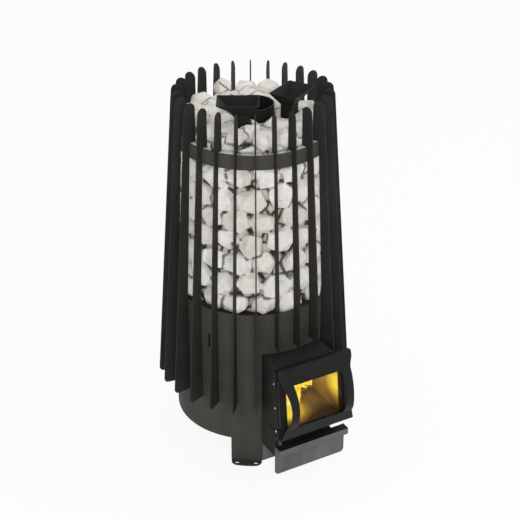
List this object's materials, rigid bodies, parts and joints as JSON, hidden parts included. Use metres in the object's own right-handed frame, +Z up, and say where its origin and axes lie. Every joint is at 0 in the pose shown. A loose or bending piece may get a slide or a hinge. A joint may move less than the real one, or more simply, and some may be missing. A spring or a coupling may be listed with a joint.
{
  "type": "sauna_stove",
  "caption": "Wood-burning sauna stove: round casing, upright fins full of stones, flue pipe, steam funnels, bowed glazed door and ash drawer",
  "frame": {"origin": "on the floor, under the middle of the stove's box", "axes": "+Z up, the door faces -Y, +X to the right of someone facing the door"},
  "size_m": [0.5526, 0.6656, 1.062],
  "materials": {
    "dark_paint": "matt heat-proof paint",
    "fin_paint": "matt heat-proof paint",
    "drawer_paint": "satin heat-proof paint",
    "iron": "rough casting",
    "steel": "bare",
    "stone": "broken rock",
    "seal": "woven heat-proof rope",
    "glass": "clear, amber in the fire's light"
  },
  "bodies": {
    "stove": {"drum_casing": "dark_paint", "front_skirt": "dark_paint", "base_plate": "dark_paint", "hoop_band": "dark_paint", "flue_pipe": "dark_paint", "steam_funnel_left": "dark_paint", "steam_funnel_right": "dark_paint", "portal_sleeve": "dark_paint", "portal_frame": "dark_paint", "foot_front_left": "dark_paint", "foot_front_right": "dark_paint", "foot_rear_left": "dark_paint", "foot_rear_right": "dark_paint", "fin_00": "fin_paint", "fin_01": "fin_paint", "fin_02": "fin_paint", "fin_03": "fin_paint", "fin_04": "fin_paint", "fin_05": "fin_paint", "fin_06": "fin_paint", "fin_07": "fin_paint", "fin_08": "fin_paint", "fin_09": "fin_paint", "fin_10": "fin_paint", "fin_11": "fin_paint", "fin_12": "fin_paint", "fin_13": "fin_paint", "fin_14": "fin_paint", "fin_15": "fin_paint", "fin_16": "fin_paint", "fin_17": "fin_paint", "fin_18": "fin_paint", "fin_19": "fin_paint", "fin_20": "fin_paint", "fin_21": "fin_paint", "fin_22": "fin_paint", "fin_23": "fin_paint", "fin_24": "fin_paint", "fin_25": "fin_paint", "firebox_shell": "iron", "hearth_plate": "iron", "grate": "iron", "firebox_roof": "iron", "fuel_channel": "iron", "ash_channel": "iron", "portal_screw_left_1": "steel", "portal_screw_left_2": "steel", "portal_screw_left_3": "steel", "portal_screw_right_1": "steel", "portal_screw_right_2": "steel", "portal_screw_right_3": "steel", "stone_fill": "stone"},
    "door": {"door_leaf": "dark_paint", "door_front": "dark_paint", "door_glass": "glass", "door_gasket": "seal", "glass_retainer_bottom": "steel", "glass_retainer_top": "steel"},
    "drawer": {"ash_drawer": "drawer_paint"}
  },
  "joints": [
    {"name": "door_hinge", "type": "hinge", "parent": "stove", "child": "door", "pos_m": [-0.1188, -0.29379, 0.17481], "axis": [0, -0.108, -0.9942], "range_deg": [0, 110]},
    {"name": "drawer_slide", "type": "slide", "parent": "stove", "child": "drawer", "axis": [0, -1, 0], "range_m": [-0.035, 0.25]}
  ]
}
